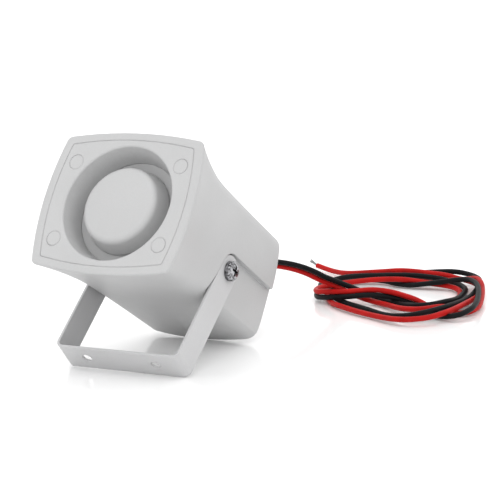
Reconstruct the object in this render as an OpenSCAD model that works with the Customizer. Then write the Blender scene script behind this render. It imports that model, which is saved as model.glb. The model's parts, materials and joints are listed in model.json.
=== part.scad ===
// Alarm siren: a flared housing with a re-entrant horn and driver inside, two flying leads,
// and a steel bracket that swings about two side screws and is held by friction.
//
// Head frame (used by every piece in the housing): origin at the centre of the front face,
// x to the siren's right-hand side, y up the face, z out of the mouth.
// Part frame: +Z up, the mouth towards -Y, origin in the middle of the footprint on the floor.

/* [Housing] */
// Width of the front face, corner to corner
face_w = 75; // [70:0.5:80]
// Height of the front face, corner to corner
face_h = 65; // [62:0.5:68]
// Length of the housing, front face to rear face
body_l = 100; // [95:1:110]
// Width of the rear end, corner to corner
rear_w = 60; // [58:0.5:61]
// Height of the rear end, corner to corner
rear_h = 52; // [50:0.5:54]
// Wall thickness of the mouldings
wall = 2.6; // [2.2:0.1:3]

/* [Horn] */
// Diameter of the horn's mouth
mouth_d = 56.8; // [55:0.2:57]
// Depth of the ring-shaped channel round the reflector cup
channel_depth = 12.5; // [11:0.5:13]
// Diameter of the reflector cup's front disc
cup_d = 38.8; // [36:0.2:40]

/* [Bracket] */
// Width over the outside of the bracket's two arms
bracket_w = 67.6; // [67.6:0.1:68.6]
// Width of the strap that the bracket is bent from
strap_w = 15; // [14:0.5:16]
// Thickness of the strap
strap_t = 1.2; // [1:0.1:1.3]
// Pivot axis to the outer face of the foot strip
arm_l = 57; // [56:0.5:60]
// Lean of the arms from straight down, towards the mouth
arm_lean = 16.6; // [14:0.1:18]
// Diameter of the two fixing holes
fix_hole_d = 5; // [4:0.1:5.5]
// Distance between the two fixing holes
fix_pitch = 38; // [34:0.5:40]

/* [Pivot] */
// Pivot axis below the horn's axis
pivot_drop = 8.6; // [8:0.1:9]
// Pivot axis behind the front face
pivot_back = 54.6; // [54:0.1:56]
// Diameter of the pivot screws' shanks
pivot_d = 5; // [4.8:0.1:5.2]

/* [Leads] */
// Outer diameter of each insulated lead
lead_d = 2.8; // [2.6:0.1:3]

/* [Hidden] */
$fn = 64;

// Colours
shell_grey = [0.80, 0.80, 0.80];
steel_zinc = [0.78, 0.78, 0.80];
iron_dark = [0.28, 0.28, 0.30];
brass_yellow = [0.78, 0.62, 0.30];
copper = [0.72, 0.40, 0.22];
board_green = [0.10, 0.35, 0.20];
rubber_black = [0.07, 0.07, 0.07];
lead_red = [0.78, 0.12, 0.10];

// Small distances
gap = 0.15; // between mouldings that drop into each other
eps = 0.01; // overlap of cuts past a face

// Housing form: a straight taper, plus a flare near the face, with bulged sides
taper_x = 3; // half-width gained by the straight taper
taper_y = 2.6; // half-height gained by the straight taper
flare_x = face_w / 2 - rear_w / 2 - taper_x;
flare_y = face_h / 2 - rear_h / 2 - taper_y;
flare_l = 42; // length of the flare behind the face
flare_power = 2.1;
bulge_x = [2.7, 3.8]; // side bulge at the rear and at the face
bulge_y = [2.6, 3.2]; // top and bottom bulge at the rear and at the face
rim_r = 1; // fillet round the face
tail_r = 3; // fillet round the rear end
side_steps = 10; // flats along each bulged side
corner_steps = 5; // flats round each corner

// Front plate and its fixings
plate_half = [33.1, 28.4];
plate_bulge = [3.4, 3.1];
plate_t = 4;
ledge = 2;
boss_at = [28.7, 19.4];
boss_r = 4;
boss_l = 22;
cap_r = 3.6;
cap_t = 1.2;

// Horn, in distances behind the face
mouth_r = mouth_d / 2;
deep_r = 25.5; // channel's outer radius at its floor
tube_wall = 2;
lip_r = 1;
cup_front = 1.8;
cup_r = cup_d / 2;
cup_edge_r = 3;
cup_skirt_r = cup_r + 1.8;
cup_gap = 0.8; // slot under the cup's skirt
cup_wall = 1.8;
throat_r = 7;
throat_top = 7;
floor_t = 2.2;
seat_back = 19.5;
seat_r = [20, 24];
ear_at = 23; // radius of the driver's three fixing screws
ear_r = 3.6;
ear_angles = [90, 210, 330];

// Driver, in distances behind the face
gasket_t = 1;
surround_back = seat_back + gasket_t;
surround_t = 0.5;
dome_r = 16.6;
dome_rise = 4;
dome_t = 0.35;
dome_back = surround_back + surround_t;
flange_back = dome_back;
flange_t = 1.8;
frame_l = 6; // flange's front to the top plate
pole_r = 8.5;
former_r = [8.9, 9.1];
winding_r = 9.6;
coil_l = 4.6;
top_plate_r = [10, 18];
top_plate_t = 2.5;
magnet_r = [11.5, 20];
magnet_t = 7;
yoke_t = 3.5;
top_back = flange_back + frame_l;
magnet_back = top_back + top_plate_t;
yoke_back = magnet_back + magnet_t;

// Circuit board, in distances behind the face
board_back = 78;
board_t = 1.6;
board_size = [44, 42];
board_hole_at = [18, 16.5];
standoff_r = 3;

// Grommet and leads at the rear face
grommet_at = [6, 18.5];
grommet_r = 4.5;
grommet_flange_r = 6;
grommet_flange_t = 1.6;
lead_pitch = 3.2; // one lead above the other

// Pivot
boss_face = 32; // flat that each friction washer bears on
washer_t = 0.55;
insert_r = 3.75;
insert_l = 9;
pivot_boss_r = 6;
pivot_boss_in = 20;
arm_in = bracket_w / 2 - strap_t;
pocket_gap = 0.7;
bend_r = 2.4;
screw_head_r = 4.75;
screw_head_t = 3.5;
screw_crown = 1.6; // height of the head's domed part
screw_l = 12;
running = 0.05; // radial clearance of the pivot holes

// The coil of both leads, lying on the floor
coil_at = [56, 127];
coil_r = [20, 53];
coil_h = 8;
coil_round = 3;
// Leads behind the housing, in the part frame: black above red down to the coil's top
black_route = [
  [6, 56.2, 37.8], [7, 63, 33], [8, 71, 30], [11, 79, 28], [15, 86, 26],
  [20, 93, 23], [24, 100, 19], [27, 106, 15], [31, 113, 11], [34, 117, coil_h]
];
lead_drop = [2.5, 0, 2]; // from the black lead down to the red one beside it
red_route = [
  [6, 54.4, 35.2], [5, 62, 30], for (i = [2 : 8]) black_route[i] - lead_drop, [30, 115, coil_h]
];
// The red lead's end, leaving the far side of the coil
tail_route = [[21, 165, 4], [10, 166, 3], [0, 170, 2], [-10, 175, 2], [-18, 178, 3]];
tip_end = [-23, 181, 4];

// Rest pose: the housing's bottom rear edge and the foot strip's rear edge lie on the floor
foot_y = -pivot_drop - arm_l * cos(arm_lean) - strap_w / 2 * sin(arm_lean);
foot_z = -pivot_back + arm_l * sin(arm_lean) - strap_w / 2 * cos(arm_lean);
tail_y = rear_h / 2 + bulge_y[0] - tail_r;
tail_z = -body_l + tail_r;
rest_run = foot_z - tail_z;
rest_rise = -tail_y - foot_y;
pitch = atan2(rest_rise, rest_run) - asin(tail_r / norm([rest_run, rest_rise]));
head_z = -(foot_y * cos(pitch) + foot_z * sin(pitch));
lip_y = face_h / 2 + bulge_y[1];
front_y = -(lip_y - rim_r) * sin(pitch) + rim_r * cos(pitch) - rim_r;
back_y = tail_y * sin(pitch) - tail_z * cos(pitch) + tail_r;
head_y = -(front_y + back_y) / 2;

// Places its children, drawn in the head frame, in the part frame
module head() {
  translate([0, head_y, head_z])
    rotate([90 - pitch, 0, 0])
      children();
}

// Extrudes a 2D shape across the siren; its x is the distance behind the face, its y is y
module across(from, to) {
  translate([from, 0, 0])
    rotate([0, 90, 0])
      linear_extrude(to - from)
        children();
}

// Turns a 2D profile about the horn's axis; its x is the radius, its y is z
module turned() {
  rotate_extrude($fn = 96)
    children();
}

// A ring about the horn's axis between two radii and two distances behind the face
module ring(radii, near, far) {
  turned()
    translate([radii[0], -far])
      square([radii[1] - radii[0], far - near]);
}

// A round bar along the horn's axis between two distances behind the face
module bar(r, at, near, far) {
  translate([at[0], at[1], -far])
    cylinder(r = r, h = far - near, $fn = 48);
}

// A block between two distances behind the face
module block(size, at, near, far) {
  translate([at[0] - size[0] / 2, at[1] - size[1] / 2, -far])
    cube([size[0], size[1], far - near]);
}

// Children repeated at the four sign combinations of a corner
module at_corners(at) {
  for (sx = [-1, 1], sy = [-1, 1])
    translate([sx * at[0], sy * at[1], 0])
      children();
}

// Children drawn on the right-hand side and mirrored to the left
module both_sides() {
  children();
  mirror([1, 0, 0])
    children();
}

// Outline of the housing
function mix(pair, t) = pair[0] + (pair[1] - pair[0]) * t;
function flare(z) = pow(max(0, 1 + z / flare_l), flare_power);
function half_x(z) = rear_w / 2 + taper_x * (1 + z / body_l) + flare_x * flare(z);
function half_y(z) = rear_h / 2 + taper_y * (1 + z / body_l) + flare_y * flare(z);
function corner_r(z) = 2.5 + 4.5 * min(1, -z / 30) - 2 * max(0, (-z - 60) / 40);

// One side of an outline with bulge b: half-width h, half-length o, corner radius r
function side(h, o, b, r) = [
  for (i = [0 : side_steps])
    let (u = (1 - r / o) * (2 * i / side_steps - 1))
    [h + b * (1 - u * u), u * o]
];
function turn(p, quarter) =
  quarter == 0 ? p :
  quarter == 1 ? [-p[1], p[0]] :
  quarter == 2 ? [-p[0], -p[1]] :
  [p[1], -p[0]];
function curve(a, c, b) = [
  for (i = [1 : corner_steps - 1])
    let (t = i / corner_steps)
    (1 - t) * (1 - t) * a + 2 * t * (1 - t) * c + t * t * b
];
// The whole outline, anticlockwise: half = [x, y], bulge = [x, y], corner radius r
function outline(half, bulge, r) = [
  for (q = [0 : 3])
    let (
      m = q % 2,
      n = 1 - m,
      along = side(half[m], half[n], bulge[m], r),
      next = side(half[n], half[m], bulge[n], r),
      from = turn(along[side_steps], q),
      to = turn(next[0], (q + 1) % 4),
      rise_m = bulge[m] * pow(r / half[n], 2),
      rise_n = bulge[n] * pow(r / half[m], 2),
      corner = turn([half[m] + rise_m, half[n] + rise_n], q)
    )
    each concat([for (p = along) turn(p, q)], curve(from, corner, to))
];

// The housing's outline at z, drawn in by inset
function section(z, inset) =
  let (t = 1 + z / body_l)
  outline(
    [half_x(z) - inset, half_y(z) - inset],
    [mix(bulge_x, t), mix(bulge_y, t)],
    max(1, corner_r(z) - inset)
  );

// Skin through a list of [z, inset] stations, from the front to the rear
module skin(stations) {
  rings = [for (s = stations) section(min(0, s[0]), s[1])];
  n = len(rings[0]);
  m = len(stations);
  points = [for (i = [0 : m - 1]) for (p = rings[i]) [p[0], p[1], stations[i][0]]];
  sides = [
    for (i = [0 : m - 2], j = [0 : n - 1])
      let (k = (j + 1) % n, a = i * n + j, b = i * n + k)
      each [[a, b, b + n], [a, b + n, a + n]]
  ];
  front = [[for (j = [n - 1 : -1 : 0]) j]];
  rear = [[for (j = [0 : n - 1]) (m - 1) * n + j]];
  polyhedron(points, concat(front, sides, rear), convexity = 6);
}

// Stations of a fillet of radius r: how far in the skin is, depth d from the end
function fillet(r, d) = r - sqrt(r * r - pow(r - d, 2));
rim_stations = [for (d = [0, 0.15, 0.5, 1]) [-d * rim_r, fillet(rim_r, d * rim_r)]];
tail_stations = [for (d = [1, 0.6, 0.3, 0.1, 0]) [-body_l + d * tail_r, fillet(tail_r, d * tail_r)]];
mid_stations = [for (z = [-4, -8, -12, -17, -22, -28, -35, -42, -56, -70, -84]) [z, 0]];
cavity_stations = [
  for (z = [-plate_t - ledge, -9, -12, -17, -22, -28, -35, -42, -56, -70, -84, -body_l + wall])
    [z, wall]
];

module plate_outline(grow) {
  polygon(outline(plate_half + [grow, grow], plate_bulge, 0.8));
}

// Area swept by an arm from its rest place to straight back, grown by extra
module swing_area(extra) {
  r = strap_w / 2 + pocket_gap + extra;
  half = r - 0.05; // a little narrower than the round end, so that no face is tangent to it
  reach = 70;
  translate([pivot_back, -pivot_drop]) {
    circle(r);
    translate([0, -half])
      square([reach, 2 * half]);
    rotate(-90 - arm_lean)
      translate([0, -half])
        square([reach, 2 * half]);
    polygon([[0, 0], reach * [-sin(arm_lean), -cos(arm_lean)], [reach, -reach], [reach, 0]]);
    // rounds off the end of the ledge above the area
    translate([body_l - pivot_back - extra, half])
      polygon([[-4, -1], [-4, 0], [-2, 0.5], [-0.7, 1.8], [0, 4], [8, 4], [8, -1]]);
  }
}

// Everything outside the flat side that the arm swings over, moved inwards by depth
module outside_flat(depth) {
  rotate([90, 0, 0])
    linear_extrude(200, center = true)
      polygon([
        [rear_w / 2 + taper_x - depth, 0],
        [60, 0],
        [60, -body_l - 20],
        [rear_w / 2 - taper_x * 20 / body_l - depth, -body_l - 20]
      ]);
}

module swing_pocket(extra, depth) {
  intersection() {
    across(20, 60)
      swing_area(extra);
    outside_flat(depth);
  }
}

module pivot_bar(r, from, to) {
  translate([from, -pivot_drop, -pivot_back])
    rotate([0, 90, 0])
      cylinder(r = r, h = to - from, $fn = 48);
}

module housing() {
  color(shell_grey) head() {
    difference() {
      skin(concat(rim_stations, mid_stations, tail_stations));
      difference() {
        skin(cavity_stations);
        both_sides()
          swing_pocket(wall - 0.5, wall + 0.05);
        at_corners(boss_at)
          bar(boss_r, [0, 0], plate_t, plate_t + boss_l);
        at_corners(board_hole_at)
          bar(standoff_r, [0, 0], board_back + board_t, body_l);
        both_sides()
          pivot_bar(pivot_boss_r, pivot_boss_in, boss_face);
      }
      translate([0, 0, -plate_t])
        linear_extrude(plate_t + 1)
          plate_outline(gap);
      difference() {
        translate([0, 0, -plate_t - ledge - eps])
          linear_extrude(ledge + 2 * eps)
            plate_outline(-ledge);
        at_corners(boss_at)
          bar(boss_r, [0, 0], plate_t, plate_t + boss_l);
      }
      both_sides() {
        difference() {
          swing_pocket(0, 0);
          pivot_bar(strap_w / 2 - 0.5, 20, boss_face);
        }
        pivot_bar(insert_r, boss_face - insert_l, 40);
        pivot_bar(pivot_d / 2 + 0.3, 18, boss_face);
      }
      at_corners(boss_at)
        bar(1.25, [0, 0], plate_t - eps, plate_t + 10);
      at_corners(board_hole_at)
        bar(1, [0, 0], board_back + board_t - eps, board_back + board_t + 8);
      bar(grommet_r, grommet_at, body_l - wall - 1, body_l + 1);
    }
  }
}

module front_plate() {
  lip = [for (a = [0 : 15 : 90]) [mouth_r + lip_r - lip_r * sin(a), -lip_r + lip_r * cos(a)]];
  color(shell_grey) head() {
    difference() {
      translate([0, 0, -plate_t])
        linear_extrude(plate_t)
          plate_outline(0);
      bar(mouth_r + lip_r + 0.4, [0, 0], -1, plate_t + 1);
      at_corners(boss_at) {
        bar(cap_r + gap / 2, [0, 0], -1, 2.6);
        bar(1.6, [0, 0], -1, plate_t + 1);
      }
    }
    turned()
      polygon(concat(
        lip,
        [
          [deep_r, -channel_depth],
          [deep_r + tube_wall, -channel_depth],
          [mouth_r + 1.2, -plate_t],
          [mouth_r + lip_r + 0.5, -plate_t],
          [mouth_r + lip_r + 0.5, 0]
        ]
      ));
  }
}

module horn_body() {
  floor_back = channel_depth + floor_t;
  color(shell_grey) head() {
    difference() {
      union() {
        ring([throat_r, deep_r + tube_wall], channel_depth, floor_back);
        ring([throat_r, throat_r + 1.8], throat_top, channel_depth + 1);
        ring(seat_r, floor_back - eps, seat_back);
        for (a = ear_angles)
          bar(ear_r, ear_at * [cos(a), sin(a)], channel_depth + 1, seat_back);
      }
      for (a = ear_angles)
        bar(1.55, ear_at * [cos(a), sin(a)], seat_back - 4, seat_back + 1);
    }
  }
}

module reflector_cup() {
  skirt_back = channel_depth - cup_gap;
  edge = [
    for (a = [90 : -15 : 0])
      [cup_r - cup_edge_r + cup_edge_r * cos(a), -cup_front - cup_edge_r + cup_edge_r * sin(a)]
  ];
  color(shell_grey) head() {
    turned()
      polygon(concat(
        [[0, -cup_front]],
        edge,
        [
          [cup_skirt_r, -skirt_back],
          [cup_skirt_r - cup_wall, -skirt_back],
          [cup_r - cup_wall - 0.4, -cup_front - cup_edge_r - 1],
          [cup_r - cup_edge_r - 0.6, -cup_front - 2],
          [0, -cup_front - 2]
        ]
      ));
    for (a = [45 : 90 : 315])
      bar(1.6, 13.2 * [cos(a), sin(a)], cup_front + 1, channel_depth);
  }
}

module screw_caps() {
  color(shell_grey) head()
    at_corners(boss_at)
      bar(cap_r, [0, 0], 0, cap_t);
}

// A pan head screw along the horn's axis, its head's top at back, pointing backwards
module pan_screw(at, back, head_r, head_t, shank_r, length) {
  difference() {
    union() {
      bar(head_r, at, back, back + head_t);
      bar(shank_r, at, back + head_t - eps, back + head_t + length);
    }
    block([head_r * 1.1, head_r * 0.28], at, back - 1, back + head_t * 0.6);
    block([head_r * 0.28, head_r * 1.1], at, back - 1, back + head_t * 0.6);
  }
}

module plate_screws() {
  color(steel_zinc) head()
    at_corners(boss_at)
      pan_screw([0, 0], cap_t, 2.6, 1.4, 1.2, 9);
}

module throat_gasket() {
  color(rubber_black) head()
    ring([seat_r[0], ear_at - 1.8], seat_back, seat_back + gasket_t);
}

module surround() {
  inner = dome_r + 0.3;
  roll_mid = 18.4;
  roll_r = 1.2;
  color(rubber_black) head()
    turned()
      difference() {
        union() {
          translate([inner, -dome_back])
            square([ear_at - 1.8 - inner, surround_t]);
          translate([roll_mid, -dome_back])
            circle(roll_r);
        }
        translate([roll_mid, -dome_back])
          circle(roll_r - 0.4);
        translate([inner - 1, -dome_back - 3])
          square([8, 3]);
      }
}

// Ball radius of the dome, and the distance behind the face of its skin at radius r
ball_r = (dome_r * dome_r + dome_rise * dome_rise) / (2 * dome_rise);
function dome_at(r) = dome_back - dome_rise + ball_r - sqrt(ball_r * ball_r - r * r);

module diaphragm() {
  radii = [for (i = [0 : 8]) dome_r * i / 8];
  outer = [for (r = radii) [r, -dome_at(r)]];
  inner = [for (i = [8 : -1 : 0]) [radii[i], -dome_at(radii[i]) - dome_t]];
  color([0.72, 0.70, 0.64]) head()
    turned()
      polygon(concat(outer, inner));
}

coil_mid = top_back + top_plate_t / 2;

module coil_former() {
  color([0.70, 0.52, 0.30]) head()
    ring(former_r, dome_at(former_r[1]) + dome_t + 0.05, coil_mid + coil_l / 2 + 0.6);
}

module voice_coil() {
  color(copper) head()
    ring([former_r[1], winding_r], coil_mid - coil_l / 2, coil_mid + coil_l / 2);
}

module driver_frame() {
  frame_r = 20;
  color(iron_dark) head()
    difference() {
      union() {
        ring([17.4, seat_r[1]], flange_back, flange_back + flange_t);
        ring([frame_r - 2, frame_r], flange_back, top_back);
        ring([13, frame_r], top_back - 1.4, top_back);
        for (a = ear_angles)
          bar(ear_r, ear_at * [cos(a), sin(a)], flange_back, flange_back + flange_t);
      }
      for (a = ear_angles)
        bar(1.6, ear_at * [cos(a), sin(a)], flange_back - 1, flange_back + flange_t + 1);
      for (a = [0 : 60 : 300])
        rotate([0, 0, a])
          block([12, 4], [frame_r, 0], flange_back + flange_t + 0.3, top_back - 1.7);
      ring([0, 17.4], flange_back - 1, flange_back + flange_t);
    }
}

module top_plate() {
  color(steel_zinc) head()
    ring(top_plate_r, top_back, magnet_back);
}

module magnet() {
  color([0.20, 0.20, 0.21]) head()
    ring(magnet_r, magnet_back, yoke_back);
}

module yoke() {
  color(steel_zinc) head() {
    bar(magnet_r[1] - 0.6, [0, 0], yoke_back, yoke_back + yoke_t);
    bar(pole_r, [0, 0], top_back, yoke_back + eps);
  }
}

// A pan head screw along the horn's axis, its head's top at back, pointing forwards
module forward_screw(at, back, head_r, head_t, shank_r, length) {
  difference() {
    union() {
      bar(head_r, at, back - head_t, back);
      bar(shank_r, at, back - head_t - length, back - head_t + eps);
    }
    block([head_r * 1.1, head_r * 0.28], at, back - head_t * 0.6, back + 1);
    block([head_r * 0.28, head_r * 1.1], at, back - head_t * 0.6, back + 1);
  }
}

module driver_screws() {
  head_t = 1.8;
  color(steel_zinc) head()
    for (a = ear_angles)
      forward_screw(
        ear_at * [cos(a), sin(a)], flange_back + flange_t + head_t, 2.7, head_t, 1.5, 6.5
      );
}

strip_y = -20.6;

module terminal_strip() {
  color([0.55, 0.35, 0.18]) head()
    block([13, 1.2], [0, strip_y], flange_back + flange_t + 0.1, flange_back + flange_t + 7);
  color(steel_zinc) head()
    for (sx = [-1, 1])
      block([2.4, 0.8], [sx * 4, strip_y - 1], 25, 31);
}

// A tube swept through a list of points: r is its radius, n its number of sides
function unit(v) = v / norm(v);
function heading(path, i) = unit(path[min(i + 1, len(path) - 1)] - path[max(i - 1, 0)]);
function across_of(v, up) = unit(up - (up * v) * v);
function ring_at(path, i, r, n, up) =
  let (v = heading(path, i), a = across_of(v, up), b = cross(v, a))
  [for (j = [0 : n - 1]) path[i] + r * cos(360 * j / n) * a + r * sin(360 * j / n) * b];

module tube(path, r, n, up) {
  m = len(path);
  points = [for (i = [0 : m - 1]) each ring_at(path, i, r, n, up)];
  sides = [
    for (i = [0 : m - 2], j = [0 : n - 1])
      let (k = (j + 1) % n, a = i * n + j, b = i * n + k)
      each [[a, b + n, b], [a, a + n, b + n]]
  ];
  start = [[for (j = [0 : n - 1]) j]];
  finish = [[for (j = [n - 1 : -1 : 0]) (m - 1) * n + j]];
  polyhedron(points, concat(start, sides, finish), convexity = 8);
}

module driver_leads() {
  color([0.15, 0.15, 0.40]) head()
    for (sx = [-1, 1])
      tube(
        [
          [sx * 4, strip_y - 1, -31], [sx * 4, strip_y - 0.6, -36], [sx * 4.4, strip_y, -44],
          [sx * 4.8, strip_y + 0.4, -54], [sx * 5, strip_y + 1.6, -64],
          [sx * 5, strip_y + 3.6, -72], [sx * 5, strip_y + 4.6, -board_back]
        ],
        0.7, 8, [1, 0, 0]
      );
}

module circuit_board() {
  color(board_green) head()
    difference() {
      block(board_size, [0, 0], board_back, board_back + board_t);
      at_corners(board_hole_at)
        bar(1.3, [0, 0], board_back - 1, board_back + board_t + 1);
    }
}

module tone_chip() {
  color(rubber_black) head() {
    block([9.4, 6.4], [-8, 4], board_back - 4, board_back - 0.6);
  }
  color(steel_zinc) head()
    for (i = [0 : 3], sy = [-1, 1])
      block([0.6, 0.5], [-11.8 + 2.54 * i, 4 + sy * 3.4], board_back - 2.4, board_back);
}

module power_transistor() {
  body_near = board_back - 14;
  color(rubber_black) head()
    block([10, 4.4], [8, -6], body_near, board_back - 4);
  color(steel_zinc) head() {
    difference() {
      block([10, 1.2], [8, -8.8], body_near - 6, board_back - 4);
      translate([8, -8, -body_near + 3])
        rotate([90, 0, 0])
          cylinder(r = 1.8, h = 3, $fn = 32);
    }
    for (i = [-1 : 1])
      block([0.8, 0.6], [8 + 2.54 * i, -6], board_back - 4, board_back);
  }
}

module capacitor() {
  color([0.10, 0.12, 0.30]) head()
    difference() {
      bar(5, [8, 8], board_back - 16.4, board_back - 0.4);
      ring_groove = 0.3;
      translate([8, 8, -board_back + 2.6])
        rotate_extrude($fn = 48)
          translate([5, 0])
            circle(ring_groove, $fn = 16);
    }
}

module resistors() {
  color([0.80, 0.68, 0.48]) head()
    for (i = [0 : 3])
      translate([-17.5 + 3.4 * i, -5, -board_back + 1.4])
        rotate([90, 0, 0])
          cylinder(r = 1.15, h = 6.4, $fn = 32);
  color(steel_zinc) head()
    for (i = [0 : 3], y = [-4, -12.4])
      bar(0.3, [-17.5 + 3.4 * i, y], board_back - 1.6, board_back);
}

module diode() {
  color(rubber_black) head()
    translate([-4, -3, -board_back + 1.7])
      rotate([90, 0, 0])
        cylinder(r = 1.35, h = 5, $fn = 32);
}

module board_screws() {
  color(steel_zinc) head()
    at_corners(board_hole_at)
      pan_screw([0, 0], board_back - 1.5, 2.2, 1.5, 0.95, 7);
}

module cable_grommet() {
  color(rubber_black) head()
    difference() {
      union() {
        bar(grommet_flange_r, grommet_at, body_l, body_l + grommet_flange_t);
        bar(grommet_r - 0.02, grommet_at, body_l - wall, body_l + eps);
        bar(grommet_flange_r - 0.4, grommet_at, body_l - wall - 1.6, body_l - wall);
      }
      for (s = [-1, 1])
        bar(lead_d / 2 + 0.05, grommet_at + [0, s * lead_pitch / 2], body_l - 6, body_l + 3);
    }
}

module inner_lead(side) {
  bar(
    lead_d / 2, grommet_at + [0, side * lead_pitch / 2],
    board_back + board_t, body_l + grommet_flange_t
  );
}

module black_inner_lead() {
  color(rubber_black) head()
    inner_lead(1);
}

module red_inner_lead() {
  color(lead_red) head()
    inner_lead(-1);
}

module pivot_inserts() {
  color(brass_yellow) head()
    both_sides()
      difference() {
        pivot_bar(insert_r, boss_face - insert_l, boss_face - 0.4);
        pivot_bar(pivot_d / 2 + running, 10, 40);
      }
}

module friction_washers() {
  color([0.92, 0.92, 0.90]) head()
    both_sides()
      difference() {
        pivot_bar(strap_w / 2 - 0.8, boss_face, boss_face + washer_t);
        pivot_bar(pivot_d / 2 + running, 10, 40);
      }
}

module pivot_screws() {
  seat = bracket_w / 2 + running;
  crown = [
    for (i = [0 : 4])
      [screw_head_r * cos(22.5 * i), screw_head_t - screw_crown * (1 - sin(22.5 * i))]
  ];
  color(steel_zinc) head()
    both_sides()
      translate([seat, -pivot_drop, -pivot_back])
        rotate([0, 90, 0])
          difference() {
            rotate_extrude($fn = 64)
              polygon(concat(
                [[0, -screw_l], [pivot_d / 2, -screw_l], [pivot_d / 2, 0], [screw_head_r, 0]],
                crown
              ));
            for (size = [[5.2, 1.1], [1.1, 5.2]])
              translate([-size[0] / 2, -size[1] / 2, screw_head_t - 2])
                cube([size[0], size[1], 4]);
          }
}

// Half of the bracket's outer or inner outline, its foot at -length
module strap_bend(half, length, r) {
  union() {
    translate([-half, r - length])
      square([2 * half, length + 10]);
    translate([r - half, -length])
      square([2 * (half - r), 2 * r]);
    for (sx = [-1, 1])
      translate([sx * (half - r), r - length])
        circle(r);
  }
}

module bracket() {
  color(shell_grey) head()
    translate([0, -pivot_drop, -pivot_back])
      rotate([-arm_lean, 0, 0])
        difference() {
          intersection() {
            linear_extrude(strap_w, center = true)
              difference() {
                strap_bend(bracket_w / 2, arm_l, bend_r + strap_t);
                strap_bend(bracket_w / 2 - strap_t, arm_l - strap_t, bend_r);
              }
            across(-40, 40) {
              circle(strap_w / 2);
              translate([-strap_w / 2, -arm_l - 1])
                square([strap_w, arm_l + 1]);
            }
          }
          translate([-40, 0, 0])
            rotate([0, 90, 0])
              cylinder(r = pivot_d / 2 + running, h = 80, $fn = 48);
          for (sx = [-1, 1])
            translate([sx * fix_pitch / 2, -arm_l - 1, 0])
              rotate([-90, 0, 0])
                cylinder(r = fix_hole_d / 2, h = strap_t + 2, $fn = 48);
        }
}

module black_lead() {
  color(rubber_black)
    tube(black_route, lead_d / 2, 8, [1, 0, 0]);
}

module red_lead() {
  color(lead_red)
    tube(red_route, lead_d / 2, 8, [1, 0, 0]);
}

// Outer shape of the coiled part of both leads
module lead_coil() {
  color([0.35, 0.08, 0.08])
    translate([coil_at[0], coil_at[1], 0])
      rotate_extrude($fn = 96) {
        translate([coil_r[0] + coil_round, 0])
          square([coil_r[1] - coil_r[0] - 2 * coil_round, coil_h]);
        translate([coil_r[0], coil_round])
          square([coil_r[1] - coil_r[0], coil_h - 2 * coil_round]);
        for (r = [coil_r[0] + coil_round, coil_r[1] - coil_round], z = [coil_round, coil_h - coil_round])
          translate([r, z])
            circle(coil_round);
      }
}

module red_tail() {
  color(lead_red)
    tube(tail_route, lead_d / 2, 8, [0, 0, 1]);
}

// Bare tinned strands at the red lead's end
module red_tip() {
  start = tail_route[len(tail_route) - 1];
  color(steel_zinc)
    tube([start, (start + tip_end) / 2, tip_end], 0.6, 8, [0, 0, 1]);
}

housing();
front_plate();
horn_body();
reflector_cup();
screw_caps();
plate_screws();
throat_gasket();
surround();
diaphragm();
coil_former();
voice_coil();
driver_frame();
top_plate();
magnet();
yoke();
driver_screws();
terminal_strip();
driver_leads();
circuit_board();
tone_chip();
power_transistor();
capacitor();
resistors();
diode();
board_screws();
cable_grommet();
black_inner_lead();
red_inner_lead();
pivot_inserts();
friction_washers();
pivot_screws();
bracket();
black_lead();
red_lead();
lead_coil();
red_tail();
red_tip();
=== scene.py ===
import json
import math

import bmesh
import bpy
import numpy as np
from mathutils import Matrix, Vector
from mathutils.noise import noise as noise_at


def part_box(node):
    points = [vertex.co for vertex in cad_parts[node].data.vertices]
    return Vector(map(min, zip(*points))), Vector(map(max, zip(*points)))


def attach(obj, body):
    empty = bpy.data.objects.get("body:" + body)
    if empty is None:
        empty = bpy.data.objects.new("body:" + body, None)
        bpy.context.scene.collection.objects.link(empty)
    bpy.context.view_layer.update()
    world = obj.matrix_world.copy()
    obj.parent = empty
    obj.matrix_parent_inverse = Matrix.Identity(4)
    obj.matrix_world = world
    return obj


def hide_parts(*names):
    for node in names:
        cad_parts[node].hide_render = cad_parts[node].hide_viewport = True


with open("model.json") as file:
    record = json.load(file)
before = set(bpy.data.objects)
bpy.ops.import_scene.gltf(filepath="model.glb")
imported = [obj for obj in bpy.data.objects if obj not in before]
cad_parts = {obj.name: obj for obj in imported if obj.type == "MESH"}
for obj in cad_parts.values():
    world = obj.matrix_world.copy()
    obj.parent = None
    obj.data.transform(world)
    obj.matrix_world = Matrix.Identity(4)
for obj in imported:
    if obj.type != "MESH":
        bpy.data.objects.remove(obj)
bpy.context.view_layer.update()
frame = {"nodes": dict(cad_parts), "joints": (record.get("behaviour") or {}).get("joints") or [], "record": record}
NODES = frame["nodes"]
MM = 0.001
WIRE_D = 2.8 * MM
HORN_JOINT = next(j for j in frame["joints"] if j["name"] == "diaphragm_travel")
HORN_AXIS = Vector(HORN_JOINT["axis"]).normalized()  # out of the horn's mouth
FACE_UP = HORN_AXIS.cross(Vector((1, 0, 0)))  # along the front plate, from its bottom to its top

# ---------------------------------------------------------------- camera
# The photo's view, found by fitting the part's edges to the photo in a scratch program.
VIEW_AZIMUTH = 31.10  # degrees, from -Y towards +X
VIEW_ELEVATION = 11.70
VIEW_ROLL = -3.16
VIEW_DISTANCE = 1.025
VIEW_AIM = (0.0292, 0.0286, 0.0454)
LENS = 154.1
SENSOR = 36

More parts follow.
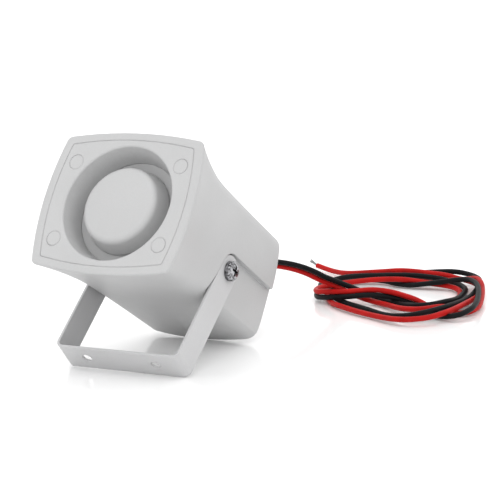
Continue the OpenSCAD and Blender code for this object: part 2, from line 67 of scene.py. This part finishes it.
scene = bpy.context.scene
cam_data = bpy.data.cameras.new("camera")
cam_data.sensor_width = SENSOR
cam_data.lens = LENS
cam_data.clip_start = 0.01
cam_data.clip_end = 50
cam = bpy.data.objects.new("camera", cam_data)
scene.collection.objects.link(cam)
turned = (
    Matrix.Rotation(math.radians(VIEW_AZIMUTH), 4, "Z")
    @ Matrix.Rotation(math.radians(90 - VIEW_ELEVATION), 4, "X")
    @ Matrix.Rotation(math.radians(VIEW_ROLL), 4, "Z")
)
cam.matrix_world = Matrix.Translation(VIEW_AIM) @ turned @ Matrix.Translation((0, 0, VIEW_DISTANCE))
scene.camera = cam


# ---------------------------------------------------------------- material tools
class Nodes:
    """A material's node tree, with short calls for the nodes used here."""

    def __init__(self, name):
        self.mat = bpy.data.materials.new(name)
        self.mat.use_nodes = True
        self.tree = self.mat.node_tree
        self.bsdf = self.tree.nodes["Principled BSDF"]
        self.coord = self.add("ShaderNodeTexCoord").outputs["Object"]

    def add(self, kind, **values):
        node = self.tree.nodes.new(kind)
        for key, value in values.items():
            setattr(node, key, value)
        return node

    def put(self, socket, value):
        if isinstance(value, bpy.types.NodeSocket):
            self.tree.links.new(value, socket)
        else:
            socket.default_value = value

    def noise(self, scale, detail=3.0, rough=0.5, at=None):
        n = self.add("ShaderNodeTexNoise")
        self.put(n.inputs["Vector"], at or self.coord)
        n.inputs["Scale"].default_value = scale
        n.inputs["Detail"].default_value = detail
        n.inputs["Roughness"].default_value = rough
        return n.outputs["Fac"]

    def scaled(self, vector):
        n = self.add("ShaderNodeMapping")
        self.put(n.inputs["Vector"], self.coord)
        n.inputs["Scale"].default_value = vector
        return n.outputs["Vector"]

    def ramp(self, value, stops):
        n = self.add("ShaderNodeValToRGB")
        self.put(n.inputs["Fac"], value)
        e = n.color_ramp.elements
        while len(e) < len(stops):
            e.new(0.5)
        for item, (at, colour) in zip(e, stops):
            item.position = at
            item.color = (*colour, 1)
        return n.outputs["Color"]

    def span(self, value, low, high):
        n = self.add("ShaderNodeMapRange")
        self.put(n.inputs["Value"], value)
        n.inputs["To Min"].default_value = low
        n.inputs["To Max"].default_value = high
        return n.outputs["Result"]

    def math(self, kind, a, b=0.0):
        n = self.add("ShaderNodeMath", operation=kind)
        self.put(n.inputs[0], a)
        self.put(n.inputs[1], b)
        return n.outputs[0]

    def mix(self, fac, a, b):
        n = self.add("ShaderNodeMix", data_type="RGBA")
        self.put(n.inputs["Factor"], fac)
        self.put(n.inputs["A"], a)
        self.put(n.inputs["B"], b)
        return n.outputs["Result"]

    def bump(self, height, distance, strength=1.0, under=None):
        n = self.add("ShaderNodeBump")
        self.put(n.inputs["Height"], height)
        n.inputs["Distance"].default_value = distance
        n.inputs["Strength"].default_value = strength
        if under is not None:
            self.put(n.inputs["Normal"], under)
        return n.outputs["Normal"]

    def edge_normal(self, radius):
        """The normal as if edges were rounded by radius."""
        n = self.add("ShaderNodeBevel", samples=6)
        n.inputs["Radius"].default_value = radius
        return n.outputs["Normal"]

    def edge_highlight_mask(self, radius, gain):
        """1 along convex edges, 0 on flats: how far the rounded normal leans from the true one; the mask for
        painted edge highlights.
        """
        geo = self.add("ShaderNodeNewGeometry")
        dot = self.add("ShaderNodeVectorMath", operation="DOT_PRODUCT")
        self.put(dot.inputs[0], self.edge_normal(radius))
        self.put(dot.inputs[1], geo.outputs["Normal"])
        away = self.math("SUBTRACT", 1.0, dot.outputs["Value"])
        n = self.add("ShaderNodeClamp")
        self.put(n.inputs["Value"], self.math("MULTIPLY", away, gain))
        return n.outputs["Result"]

    def buried(self, reach):
        """Painted shade mask: 0 in the open, towards 1 in slots and corners, looking as far as reach."""
        n = self.add("ShaderNodeAmbientOcclusion", samples=8)
        n.inputs["Distance"].default_value = reach
        return self.math("SUBTRACT", 1.0, n.outputs["AO"])

    def set(self, **values):
        for key, value in values.items():
            if isinstance(value, tuple) and len(value) == 3:
                value = (*value, 1)
            self.put(self.bsdf.inputs[key.replace("_", " ")], value)
        return self.mat


def shade(colour, k):
    """The colour, k times as bright."""
    return tuple(max(0.0, min(1.0, c * k)) for c in colour)


def moulded(name, colour, rough, grain=4200, depth=0.00003, mottle=0.03, edge=0.0003, spec=0.5,
            specks=0.30):
    """Moulded or powder-coated surface: fine grain, faint flow marks, softened edges with a painted highlight."""
    m = Nodes(name)
    broad = m.noise(38, 4)
    fine = m.noise(grain, 2, 0.6)
    tint = m.ramp(broad, [(0.3, shade(colour, 1 - mottle)), (0.7, shade(colour, 1 + mottle))])
    # painted highlight: convex edges are lightened in the colour
    edge_highlight = m.edge_highlight_mask(0.0007, 3.0)
    tint = m.mix(m.math("MULTIPLY", edge_highlight, 0.25), tint, (*shade(colour, 1.08), 1))
    r = m.math("ADD", m.span(m.noise(90, 3), -0.05, 0.05), m.span(fine, rough - 0.06, rough + 0.06))
    speck = m.noise(1500, 2, 0.7)
    tint = m.mix(m.span(speck, 0.0, specks), tint, (*shade(colour, 0.80), 1))
    normal = m.bump(fine, depth, 0.6, m.edge_normal(edge))
    normal = m.bump(speck, depth * 1.5, 0.5, normal)
    return m.set(Base_Color=tint, Roughness=r, Normal=normal, Specular_IOR_Level=spec)


def metal(name, colour, rough, stretch=(1, 1, 1), scale=900, contrast=0.1, patches=220):
    """Plated or bare metal: polish lines, patchy lustre, painted edge highlights and painted shade in recesses."""
    m = Nodes(name)
    lines = m.noise(scale, 4, 0.6, m.scaled(stretch))
    cloud = m.noise(patches, 4)
    # patchy tone; at high contrast these light and dark patches are painted reflections
    tint = m.ramp(cloud, [(0.35, shade(colour, 1 - contrast)), (0.65, shade(colour, 1 + contrast))])
    # painted highlight: convex edges are lightened in the colour
    tint = m.mix(m.math("MULTIPLY", m.edge_highlight_mask(0.0004, 3.0), 0.5), tint, (*shade(colour, 1.25), 1))
    # painted shade: slots, corners and recesses are darkened in the colour
    tint = m.mix(m.buried(0.0012), tint, (*shade(colour, 0.12), 1))
    r = m.math("ADD", m.span(lines, -0.08, 0.08), m.span(cloud, rough - 0.05, rough + 0.07))
    normal = m.bump(lines, 0.00001, 0.5, m.edge_normal(0.00015))
    return m.set(Base_Color=tint, Metallic=1.0, Roughness=r, Normal=normal)


def insulation(name, colour, rough):
    """Soft wire cover: faint ripples, tiny scuffs and little gloss."""
    m = Nodes(name)
    soft = m.noise(140, 3)
    tint = m.ramp(soft, [(0.3, shade(colour, 0.82)), (0.7, shade(colour, 1.12))])
    scuff = m.ramp(m.noise(900, 6, 0.7), [(0.62, (0, 0, 0)), (0.74, (1, 1, 1))])
    tint = m.mix(m.math("MULTIPLY", scuff, 0.05), tint, (0.5, 0.5, 0.5, 1))
    r = m.math("ADD", m.span(m.noise(700, 4), rough - 0.08, rough + 0.1),
               m.math("MULTIPLY", scuff, 0.2))
    normal = m.bump(m.noise(500, 3), 0.00006, 0.35)
    normal = m.bump(m.noise(4000, 2), 0.00001, 0.3, normal)
    return m.set(Base_Color=tint, Roughness=r, Normal=normal, Specular_IOR_Level=0.08)


WIND_PITCH = 0.32 * MM


def wound(name):
    """Enamelled copper wire, wound in close turns along the horn's axis, with painted shade between turns and a
    painted highlight on each turn.
    """
    m = Nodes(name)
    axis = m.add("ShaderNodeVectorMath", operation="DOT_PRODUCT")
    m.put(axis.inputs[0], m.coord)
    axis.inputs[1].default_value = HORN_AXIS
    wave = m.math("SINE", m.math("MULTIPLY", axis.outputs["Value"], 2 * math.pi / WIND_PITCH))
    # painted shade and highlight: darker between the turns, lighter on their crests
    tint = m.ramp(m.span(wave, 0.5, 1.0), [(0.0, (0.24, 0.07, 0.02)), (1.0, (0.66, 0.27, 0.10))])
    tint = m.mix(m.span(m.noise(300, 3), 0.0, 0.4), tint, (0.55, 0.18, 0.06, 1))
    normal = m.bump(wave, 0.00005, 0.8)
    return m.set(Base_Color=tint, Metallic=0.85, Roughness=0.3, Normal=normal)


def laminate(name):
    """Circuit board: green solder mask over a grid of tracks, with a faint weave."""
    m = Nodes(name)
    grid = m.add("ShaderNodeTexBrick")
    m.put(grid.inputs["Vector"], m.coord)
    grid.inputs["Scale"].default_value = 130
    grid.inputs["Mortar Size"].default_value = 0.045
    grid.inputs["Color1"].default_value = (0.010, 0.105, 0.040, 1)
    grid.inputs["Color2"].default_value = (0.008, 0.085, 0.033, 1)
    grid.inputs["Mortar"].default_value = (0.030, 0.190, 0.080, 1)
    weave = m.noise(2600, 3)
    tint = m.mix(m.span(weave, 0.0, 0.25), grid.outputs["Color"], (0.020, 0.150, 0.060, 1))
    normal = m.bump(grid.outputs["Fac"], 0.00004, 0.6, m.edge_normal(0.0001))
    normal = m.bump(weave, 0.00001, 0.4, normal)
    return m.set(Base_Color=tint, Roughness=m.span(weave, 0.22, 0.34), Normal=normal)


def banded(name, body, bands, across, pitch):
    """Small part with coloured bands round it, repeated along one direction of the frame."""
    m = Nodes(name)
    axis = m.add("ShaderNodeVectorMath", operation="DOT_PRODUCT")
    m.put(axis.inputs[0], m.coord)
    axis.inputs[1].default_value = across
    along = m.math("FRACT", m.math("MULTIPLY", axis.outputs["Value"], 1 / pitch))
    stops = [(0.0, body)]
    for i, band in enumerate(bands):
        at = 0.2 + 0.15 * i
        stops += [(at, band), (at + 0.06, body)]
    ramp = m.ramp(along, stops)
    ramp.node.color_ramp.interpolation = "CONSTANT"
    tint = m.mix(m.span(m.noise(700, 3), 0.0, 0.15), ramp, (*shade(body, 0.7), 1))
    return m.set(Base_Color=tint, Roughness=0.3, Normal=m.bump(m.noise(1200, 2), 0.00002, 0.4),
                 Coat_Weight=0.4, Coat_Roughness=0.15)


SHELL = (0.445, 0.446, 0.448)
STRAP = (0.49, 0.49, 0.495)
ZINC_BRIGHT = (0.24, 0.24, 0.25)
RESISTOR_BODY = (0.56, 0.42, 0.24)
RESISTOR_BANDS = [(0.30, 0.10, 0.02), (0.02, 0.02, 0.02), (0.50, 0.06, 0.02), (0.55, 0.38, 0.06)]
SLEEVE = (0.020, 0.028, 0.110)
SLEEVE_MARK = (0.45, 0.45, 0.50)
MAT = {
    "shell": moulded("shell_grey", SHELL, rough=0.46, edge=0.001, specks=0.55),
    "bracket_paint": moulded("bracket_coat", STRAP, rough=0.40, grain=2600, depth=0.00005, specks=0.42),
    # contrast=0.95 paints reflections into the screw heads' colour as light and dark patches
    "screw_chrome": metal("bright_zinc", ZINC_BRIGHT, rough=0.12, scale=1500, contrast=0.95, patches=900),
    "zinc": metal("zinc", (0.66, 0.67, 0.69), rough=0.32, stretch=(1, 1, 6)),
    "brass_insert": metal("brass", (0.76, 0.56, 0.24), rough=0.30, stretch=(6, 1, 1)),
    "nylon": moulded(
        "nylon", (0.80, 0.79, 0.74),
        rough=0.4, grain=1500, depth=0.00001, mottle=0.02, edge=0.0001,
    ),
    "soft_rubber": moulded(
        "rubber", (0.022, 0.022, 0.023),
        rough=0.65, grain=2500, depth=0.00004, mottle=0.12, edge=0.0002, spec=0.35,
    ),
    "frame_black": moulded(
        "frame_coat", (0.045, 0.045, 0.048),
        rough=0.42, grain=2600, depth=0.00005, mottle=0.06, edge=0.0002,
    ),
    "lead_black": insulation("insulation_black", (0.007, 0.007, 0.008), rough=0.45),
    "lead_red": insulation("insulation_red", (0.40, 0.009, 0.008), rough=0.42),
    "dome_film": moulded(
        "dome_film", (0.60, 0.57, 0.48),
        rough=0.28, grain=900, depth=0.00001, mottle=0.03, edge=0.0001,
    ),
    "former_film": moulded(
        "former_film", (0.46, 0.24, 0.09),
        rough=0.3, grain=1500, depth=0.00001, mottle=0.04, edge=0.0001,
    ),
    "ferrite": moulded(
        "ferrite", (0.055, 0.055, 0.060),
        rough=0.55, grain=3200, depth=0.00006, mottle=0.18, edge=0.0002, spec=0.4,
    ),
    "phenolic": moulded(
        "phenolic", (0.20, 0.10, 0.045),
        rough=0.42, grain=1800, depth=0.00002, mottle=0.10, edge=0.0001,
    ),
    "chip_resin": moulded(
        "chip_resin", (0.020, 0.020, 0.021),
        rough=0.48, grain=4200, depth=0.00002, mottle=0.10, edge=0.0001,
    ),
    "driver_wire": insulation("driver_wire", (0.020, 0.030, 0.160), rough=0.35),
    "tinned_copper": metal("tinned_strand", (0.26, 0.26, 0.26), rough=0.36, scale=2500),
    "copper_wire": wound("enamelled_copper"),
    "board_laminate": laminate("board_mask"),
    "resistor_body": banded("resistor_bands", RESISTOR_BODY, RESISTOR_BANDS, (1, 0, 0), 7.5 * MM),
    "capacitor_sleeve": banded("capacitor_sleeve", SLEEVE, [SLEEVE_MARK], FACE_UP, 16 * MM),
}


# ---------------------------------------------------------------- piece tools
def link(obj, slot, body="head", replaced=()):
    """Puts a new piece in the scene, with its material, its body and the CAD nodes that it replaces."""
    scene.collection.objects.link(obj)
    obj.data.materials.clear()
    obj.data.materials.append(MAT[slot])
    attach(obj, body)
    if replaced:
        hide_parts(*replaced)
    return obj


WELD = 0.002 * MM  # corners closer than this become one
ROUNDED_FROM = 38  # degrees: edges sharper than this are rounded


def smooth_by_angle(mesh, degrees):
    mesh.polygons.foreach_set("use_smooth", [True] * len(mesh.polygons))
    mesh.set_sharp_from_angle(angle=math.radians(degrees))


def refined(node, slot, body="head", width=0.25, segments=2, smooth=32, dissolve=0.4, shape=None):
    """The CAD node's own shape, remade with clean faces, edges rounded by width and smooth shading."""
    mesh = NODES[node].data.copy()
    mesh.name = node + "_fine"
    bm = bmesh.new()
    bm.from_mesh(mesh)
    bmesh.ops.remove_doubles(bm, verts=bm.verts, dist=WELD)
    bmesh.ops.dissolve_limit(bm, angle_limit=math.radians(dissolve), verts=bm.verts, edges=bm.edges)
    bmesh.ops.recalc_face_normals(bm, faces=bm.faces)
    if shape:
        shape(bm.verts)
    bm.to_mesh(mesh)
    bm.free()
    for name in [a.name for a in mesh.attributes if a.name.startswith("custom_normal")]:
        mesh.attributes.remove(mesh.attributes[name])
    obj = bpy.data.objects.new(node + "_fine", mesh)
    smooth_by_angle(mesh, smooth)
    if width:
        mod = obj.modifiers.new("edges", "BEVEL")
        mod.width = width * MM
        mod.segments = segments
        mod.limit_method = "ANGLE"
        mod.angle_limit = math.radians(ROUNDED_FROM)
        mod.use_clamp_overlap = True
        mod.harden_normals = False
    return link(obj, slot, body, (node,))


WIRE_SIDES = 5


def round_curve(name, radius, sides):
    """An empty curve with a round section and closed ends."""
    data = bpy.data.curves.new(name, "CURVE")
    data.dimensions = "3D"
    data.bevel_depth = radius
    data.bevel_resolution = sides
    data.use_fill_caps = True
    return data


def add_line(data, points_mm):
    """A smooth line of the curve, through points given in millimetres."""
    spline = data.splines.new("BEZIER")
    spline.bezier_points.add(len(points_mm) - 1)
    for knot, point in zip(spline.bezier_points, points_mm):
        knot.co = Vector(point) * MM
        knot.handle_left_type = "AUTO"
        knot.handle_right_type = "AUTO"


def wire_curve(name, points_mm, slot, replaced):
    """A lead's insulated wire."""
    data = round_curve(name, WIRE_D / 2, WIRE_SIDES)
    data.resolution_u = 4
    add_line(data, points_mm)
    return link(bpy.data.objects.new(name, data), slot, replaced=replaced)


STRAND_SIDES = 2
STRAND_RADIUS = 0.17 * MM
STRANDS = 9
STRAND_TWIST = 2.2  # radians that a strand turns by, from the cut to its tip
STRAND_PITCH = 0.36  # millimetres from the middle strand at the cut
STRAND_ROOT = 0.6  # millimetres that a strand starts inside the wire
STRAND_LOW = 0.2  # least height of a strand's centreline, in millimetres
STRAND_PARTS = 5


def strands(name, start, direction, length, spread, bend):
    """Bare tinned strands that leave the cut end of a lead, loosely twisted and splayed."""
    ahead = Vector(direction).normalized()
    side = ahead.orthogonal().normalized()
    over = ahead.cross(side)
    data = round_curve(name, STRAND_RADIUS, STRAND_SIDES)
    for k in range(STRANDS):
        ring = min(k, 1)  # the first strand is the middle one
        phase = 2 * math.pi * k / (STRANDS - 1)
        reach = length * (1 - 0.12 * ((k * 37) % 5) / 5)
        line = []
        for i in range(STRAND_PARTS + 1):
            t = i / STRAND_PARTS
            turn = phase + STRAND_TWIST * t
            r = ring * (STRAND_PITCH + spread * t * t) * (1 + 0.25 * math.sin(5 * k))
            p = Vector(start) + ahead * (reach * t - STRAND_ROOT)
            p += (side * math.cos(turn) + over * math.sin(turn)) * r
            p += Vector(bend) * t * t
            p.z = max(p.z, STRAND_LOW)
            line.append(p)
        add_line(data, line)
    return bpy.data.objects.new(name, data)


# ---------------------------------------------------------------- the two leads
# From the housing's rear to the coil's top, then loosely round the coil, in millimetres.
# The points are not independent choices: they were rounded by hand from the lay that a scratch
# settling program gave. The turns are a list and not a loop, because each follows the photo's own.
BLACK_LEAD = [
    (6, 56.2, 37.8), (7, 63, 33), (8, 71, 30), (11, 79, 28), (15, 86, 26),
    (20, 93, 23), (24, 100, 19), (27, 106, 15), (31, 113, 11), (34, 117, 8),
]
BLACK_TURNS = [
    (40, 121, 5), (49, 121, 2), (63, 114, 2), (78, 105, 4), (89, 108, 5), (92, 120, 4), (89, 136, 3),
    (82, 155, 2), (68, 165, 3), (50, 163, 5), (30, 157, 5), (16, 143, 6), (12, 128, 4), (17, 114, 2),
    (33, 108, 4), (50, 113, 6), (66, 117, 3), (80, 109, 2), (95, 97, 2), (107, 96, 4), (108, 110, 5),
    (102, 128, 6), (94, 144, 7), (83, 155, 7), (66, 155, 4), (48, 154, 2), (30, 159, 2), (17, 153, 2),
    (15, 138, 2), (22, 121, 2), (36, 108, 2), (54, 98, 2), (72, 89, 2), (86, 88, 4), (94, 99, 5),
    (96, 118, 4), (94, 138, 3), (89, 158, 4), (80, 173, 4), (65, 178, 5), (48, 174, 4), (28, 170, 3),
    (12, 160, 2), (4, 147, 2), (5, 138, 2), (11, 134, 2),
]
RED_LEAD = [
    (6, 54.4, 35.2), (5, 62, 30), *((x - 2.5, y, z - 2) for x, y, z in BLACK_LEAD[2:-1]), (30, 115, 8),
]
RED_TURNS = [
    (37, 115, 5), (45, 116, 2), (57, 111, 2), (72, 101, 3), (85, 99, 4), (92, 110, 3), (89, 129, 2),
    (84, 145, 2), (74, 156, 2), (57, 157, 3), (40, 151, 5), (25, 140, 5), (15, 125, 5), (16, 114, 5),
    (30, 109, 6), (48, 114, 8), (65, 116, 6), (81, 113, 2), (94, 105, 2), (104, 106, 2), (106, 118, 2),
    (101, 134, 3), (95, 148, 5), (86, 160, 6), (70, 167, 3), (52, 173, 2), (36, 171, 2), (21, 164, 2),
    (12, 150, 2), (13, 136, 2), (20, 119, 2), (31, 105, 2), (48, 94, 2), (66, 86, 2), (82, 80, 3),
    (95, 84, 4), (100, 98, 4), (100, 116, 4), (98, 133, 3), (93, 150, 2), (84, 166, 2), (70, 171, 3),
    (54, 170, 5), (38, 168, 6),
]
RED_TAIL = [(21, 165, 4), (10, 166, 3), (0, 170, 2), (-10, 175, 2), (-18, 178, 3)]

STEP = 2.8  # spacing of the points that settle
TOUCH = 2.87  # least distance between two centrelines
ROUNDS = 500
LOOK_EVERY = 20  # rounds between two searches for points that may touch
NEAR = 4 * TOUCH
NEIGHBOURS = 4  # points this close along one lead don't push each other
EASE = 0.22  # share of a bend that a round evens out
PUSHES = 3  # pushes in a round
PUSH = 1.3  # how much of an overlap a push undoes, shared between a point's contacts
HOLD = np.array((0.03, 0.03, 0.01))  # how firmly a point keeps to its laid place, along X, Y and Z
HELD = 60  # length of the first stretch, which hangs as it does in the CAD model


def along(points, step):
    """Evenly spaced points on a smooth curve through the given ones."""
    p = np.array([points[0], *points, points[-1]], float)
    fine = [p[1]]
    for a, b, c, d in zip(p, p[1:], p[2:], p[3:]):
        for t in np.linspace(0.1, 1, 10):
            bend = (2 * a - 5 * b + 4 * c - d) * t**2 + (3 * b - a - 3 * c + d) * t**3
            fine.append(b + ((c - a) * t + bend) / 2)
    fine = np.array(fine)
    run = np.r_[0, np.cumsum(np.linalg.norm(np.diff(fine, axis=0), axis=1))]
    at = np.linspace(0, run[-1], round(run[-1] / step) + 1)
    return np.column_stack([np.interp(at, run, fine[:, k]) for k in range(3)])


def eased(line):
    """How far each point would move to even out the bend there."""
    bend = np.zeros_like(line)
    bend[1:-1] = (line[:-2] + line[2:]) / 2 - line[1:-1]
    move = np.zeros_like(line)
    move[2:-2] = bend[2:-2] - (bend[1:-3] + bend[3:-1]) / 2
    return move


def settled(routes, held):
    """The routes as soft leads: smooth, on the floor or on each other, and near where they were laid."""
    laid = [along(r, STEP) for r in routes]
    home = np.vstack(laid)
    lead = np.repeat(range(len(laid)), [len(s) for s in laid])
    place = np.concatenate([np.arange(len(s)) for s in laid])
    apart = (lead[:, None] != lead) | (abs(place[:, None] - place) > NEIGHBOURS)
    fixed = place * STEP < held
    points = home.copy()
    for step in range(ROUNDS):
        if step % LOOK_EVERY == 0:
            gap = np.linalg.norm(points[:, None] - points, axis=2)
            one, other = np.nonzero(np.triu(apart & (gap < NEAR)))
        for k in range(len(laid)):
            points[lead == k] += EASE * eased(points[lead == k])
        points += (home - points) * HOLD
        for _ in range(PUSHES):
            away = points[one] - points[other]
            far = np.linalg.norm(away, axis=1, keepdims=True) + 1e-6
            push = away / far * np.maximum(TOUCH - far, 0) / 2
            move = np.zeros_like(points)
            count = np.zeros((len(points), 1))
            np.add.at(move, one, push)
            np.add.at(move, other, -push)
            np.add.at(count, one, push.any(axis=1, keepdims=True))
            np.add.at(count, other, push.any(axis=1, keepdims=True))
            points += PUSH * move / np.maximum(count, 1)
            points[:, 2] = np.maximum(points[:, 2], TOUCH / 2)
        points[fixed] = home[fixed]
    return [points[lead == k] for k in range(len(laid))]


def thinned(line):
    """Every third point, and the last."""
    return [tuple(p) for p in (*line[:-1:3], line[-1])]


black_line, red_line = (
    thinned(line)
    for line in settled([BLACK_LEAD + BLACK_TURNS, RED_LEAD + RED_TURNS + RED_TAIL], HELD)
)
black = wire_curve("black_lead_wire", black_line, "lead_black", ("black_lead", "lead_coil"))
red = wire_curve("red_lead_wire", red_line, "lead_red", ("red_lead", "red_tail"))
black_out = Vector(black_line[-1]) - Vector(black_line[-2])
red_out = Vector((-0.86, 0.35, 0.30))  # away from the coil and a little up
black_ends = strands("black_bare_strands", black_line[-1], black_out, 7.0, 0.6, (0.3, 0.3, 0.2))
red_ends = strands("red_bare_strands", red_line[-1], red_out, 6.4, 0.55, (-0.2, 0, 0.4))
link(black_ends, "tinned_copper")
link(red_ends, "tinned_copper", replaced=("red_tip",))


# ---------------------------------------------------------------- visible shell and bracket
CAP_ACROSS = 28.7 * MM  # from the plate's middle to a cap's, across and up
CAP_UP = 19.4 * MM
CAP_INSIDE = 3.2 * MM  # only what is further than this from a cap's middle moves
CAP_GROWS = 0.04 * MM
PLATE_INSIDE = 30 * MM
PLATE_GROWS = 0.085 * MM
RIM_WAVE = 0.6  # share by which a rim's growth goes up and down
RIM_FINENESS = 400


def widened(centres, radius, by):
    """A shape for refined: rims beyond radius from a centre go out unevenly, for a faint seam."""

    def shape(verts):
        for v in verts:
            out = min((v.co - c for c in centres), key=lambda d: d.length)
            out -= HORN_AXIS * out.dot(HORN_AXIS)
            if out.length > radius:
                v.co += out.normalized() * (1 + RIM_WAVE * noise_at(v.co * RIM_FINENESS)) * by

    return shape


def middle(node):
    low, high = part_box(node)
    return (Vector(low) + Vector(high)) / 2


cap_centres = [
    middle("screw_caps") + Vector((side * CAP_ACROSS, 0, 0)) + FACE_UP * level * CAP_UP
    for side in (-1, 1)
    for level in (-1, 1)
]
cap_shape = widened(cap_centres, CAP_INSIDE, CAP_GROWS)
plate_shape = widened([middle("front_plate")], PLATE_INSIDE, PLATE_GROWS)

refined("housing", "shell", width=0, smooth=24, dissolve=0.05)
refined("front_plate", "shell", width=0.05, smooth=30, shape=plate_shape)
refined("horn_body", "shell", width=0.2, smooth=30)
refined("reflector_cup", "shell", width=0.2, smooth=30)
refined("screw_caps", "shell", width=0.05, smooth=30, shape=cap_shape)
refined("bracket", "bracket_paint", "bracket", width=0.3, segments=3)
refined("pivot_screws", "screw_chrome", width=0.14, smooth=30)
refined("cable_grommet", "soft_rubber", width=0.3)
refined("friction_washers", "nylon", width=0.1)

SLOTS = {part["node"]: part["material_slot"] for part in frame["record"]["subparts"]}
for node, obj in NODES.items():
    obj.data.materials.clear()
    obj.data.materials.append(MAT[SLOTS[node]])

# ---------------------------------------------------------------- floor and light
FLOOR_HALF = 30
FLOOR_GAP = 0.0002  # the floor lies this far under the part
FLOOR_WHITE = (0.93, 0.93, 0.93)
GLOW_FROM = (0.35, 0.03)  # distance from the origin, and how strongly the floor glows there
GLOW_TO = (1.4, 0.40)
WORLD_STRENGTH = 1.2
WHITE = (1, 1, 1, 1)


def floor_material():
    """White ground that glows: faintly near the part, which lights its undersides and lightens its shadow, and
    more further out so that it meets the white behind it.
    """
    m = Nodes("floor_white")
    away = m.add("ShaderNodeVectorMath", operation="LENGTH")
    m.put(away.inputs[0], m.coord)
    glow = m.add("ShaderNodeMapRange")
    m.put(glow.inputs["Value"], away.outputs["Value"])
    glow.inputs["From Min"].default_value, glow.inputs["To Min"].default_value = GLOW_FROM
    glow.inputs["From Max"].default_value, glow.inputs["To Max"].default_value = GLOW_TO
    rough = m.span(m.noise(30, 3), 0.10, 0.16)
    return m.set(Base_Color=FLOOR_WHITE, Roughness=rough, Specular_IOR_Level=0.45,
                 Emission_Color=WHITE, Emission_Strength=glow.outputs["Result"])


floor_corners = [(FLOOR_HALF * x, FLOOR_HALF * y, 0) for x, y in ((-1, -1), (1, -1), (1, 1), (-1, 1))]
floor_mesh = bpy.data.meshes.new("floor")
floor_mesh.from_pydata(floor_corners, [], [(0, 1, 2, 3)])
floor_mesh.materials.append(floor_material())
floor = bpy.data.objects.new("floor", floor_mesh)
scene.collection.objects.link(floor)
floor.location.z = -FLOOR_GAP

world = bpy.data.worlds.new("world")
scene.world = world
world.use_nodes = True
background = world.node_tree.nodes["Background"]
background.inputs["Color"].default_value = WHITE
background.inputs["Strength"].default_value = WORLD_STRENGTH


def softbox(name, place, target, size, power):
    """A rectangular lamp that faces a point; lengths in metres, power in watts."""
    data = bpy.data.lights.new(name, "AREA")
    data.shape = "RECTANGLE"
    data.size, data.size_y = size
    data.energy = power
    lamp = bpy.data.objects.new(name, data)
    scene.collection.objects.link(lamp)
    lamp.location = place
    lamp.rotation_mode = "QUATERNION"
    lamp.rotation_quaternion = (Vector(target) - Vector(place)).to_track_quat("-Z", "Y")


softbox("top", place=(0.1, 0.1, 1.4), target=(0, 0.03, 0.03), size=(1.6, 1.6), power=4)
softbox("front_left", place=(-1.0, -1.1, 0.9), target=(0, 0, 0.04), size=(0.9, 0.9), power=1.9)
softbox("low_front", place=(0.1, -1.3, 0.12), target=(0, 0, 0.04), size=(1.2, 0.2), power=2.2)
softbox("right", place=(1.3, -0.1, 0.8), target=(0, 0.05, 0.04), size=(0.9, 0.9), power=3.2)
scene.view_settings.view_transform = "Standard"
